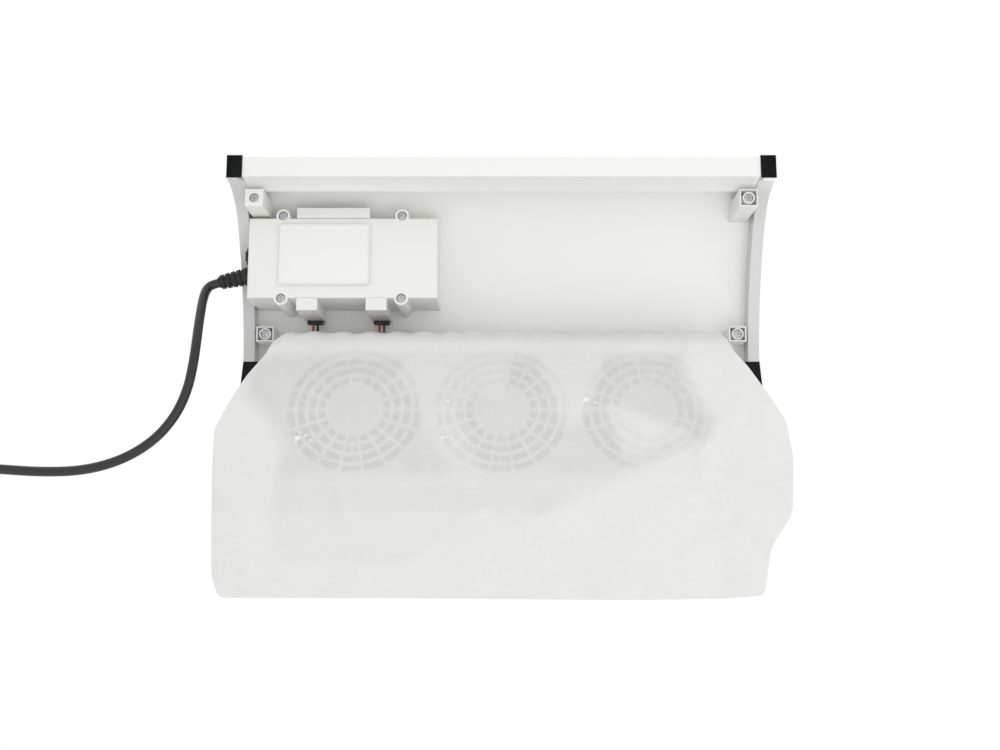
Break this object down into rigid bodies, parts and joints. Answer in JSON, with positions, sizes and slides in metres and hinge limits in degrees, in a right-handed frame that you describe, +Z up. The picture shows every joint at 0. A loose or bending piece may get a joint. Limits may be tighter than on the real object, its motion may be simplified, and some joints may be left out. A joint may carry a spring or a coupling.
{
  "type": "desktop nail dust collector",
  "caption": "Arched white desktop dust collector for manicure work: round fan grilles on the front slope, hand rest behind, soft dust bag below, mains lead with plug.",
  "frame": {"origin": "table plane, at the middle of the case and bag footprint", "axes": "+X across the case to the side where the mains lead comes out, -Y to the front where the bag lies, +Z up"},
  "size_m": [0.6091, 0.278, 0.0796],
  "materials": {
    "case_white": "glossy moulded plastic",
    "inner_white": "satin moulded plastic",
    "guard_white": "satin moulded plastic",
    "chrome": "bright plated trim",
    "fan_grey": "moulded fan plastic",
    "steel": "zinc plated",
    "bronze": "sintered bronze",
    "bag_fabric": "thin white non-woven",
    "elastic": "woven elastic",
    "board_green": "coated glass-epoxy board",
    "winding_amber": "taped winding",
    "capacitor_sleeve": "shrink sleeve",
    "switch_black": "fine matte",
    "lead_red": "insulated wire",
    "lead_black": "insulated wire",
    "cord_black": "smooth flexible jacket",
    "tie_black": "hook and loop strap",
    "plug_black": "moulded plug",
    "pin_nickel": "nickel plated brass"
  },
  "bodies": {
    "case": {"top_shell": "case_white", "back_rail": "case_white", "side_band_cord_side": "case_white", "side_band_far_side": "case_white", "corner_block_back_cord_side": "inner_white", "corner_block_back_far_side": "inner_white", "corner_block_front_cord_side": "inner_white", "corner_block_front_far_side": "inner_white", "power_box_cover": "inner_white", "intake_grille_cord_side": "guard_white", "intake_grille_middle": "guard_white", "intake_grille_far_side": "guard_white", "exhaust_frame": "guard_white", "back_foot_cord_side": "chrome", "back_foot_far_side": "chrome", "front_leg_cord_side": "chrome", "front_leg_far_side": "chrome", "fan_housing_cord_side": "fan_grey", "fan_housing_middle": "fan_grey", "fan_housing_far_side": "fan_grey", "corner_screws": "steel", "power_box_screws": "steel", "fan_screws": "steel", "lead_clip_screw": "steel", "fan_stator_cord_side": "steel", "fan_stator_middle": "steel", "fan_stator_far_side": "steel", "fan_bearing_cord_side": "bronze", "fan_bearing_middle": "bronze", "fan_bearing_far_side": "bronze", "dust_bag": "bag_fabric", "bag_elastic": "elastic", "driver_board": "board_green", "transformer": "winding_amber", "capacitor": "capacitor_sleeve", "switch_housing": "switch_black", "lead_connector_outer": "switch_black", "lead_connector_inner": "switch_black", "lead_clip": "switch_black", "fan_leads_red": "lead_red", "fan_leads_black": "lead_black", "cord_run": "cord_black", "cord_coil": "cord_black", "cord_gland": "cord_black", "coil_tie": "tie_black", "plug_body": "plug_black", "plug_pins": "pin_nickel"},
    "rotor_cord_side": {"fan_rotor_cord_side": "fan_grey", "fan_shaft_cord_side": "steel"},
    "rotor_middle": {"fan_rotor_middle": "fan_grey", "fan_shaft_middle": "steel"},
    "rotor_far_side": {"fan_rotor_far_side": "fan_grey", "fan_shaft_far_side": "steel"},
    "rocker": {"switch_rocker": "switch_black"}
  },
  "joints": [
    {"name": "fan_spin_cord_side", "type": "hinge", "parent": "case", "child": "rotor_cord_side", "pos_m": [0.095, -0.02812, 0.06171], "axis": [0, -0.2924, 0.9563], "continuous": true},
    {"name": "fan_spin_middle", "type": "hinge", "parent": "case", "child": "rotor_middle", "pos_m": [0, -0.02812, 0.06171], "axis": [0, -0.2924, 0.9563], "continuous": true},
    {"name": "fan_spin_far_side", "type": "hinge", "parent": "case", "child": "rotor_far_side", "pos_m": [-0.095, -0.02812, 0.06171], "axis": [0, -0.2924, 0.9563], "continuous": true},
    {"name": "switch_tilt", "type": "hinge", "parent": "case", "child": "rocker", "pos_m": [0.1653, 0.0815, 0.0386], "axis": [0, 1, 0], "range_deg": [-18, 0]}
  ]
}
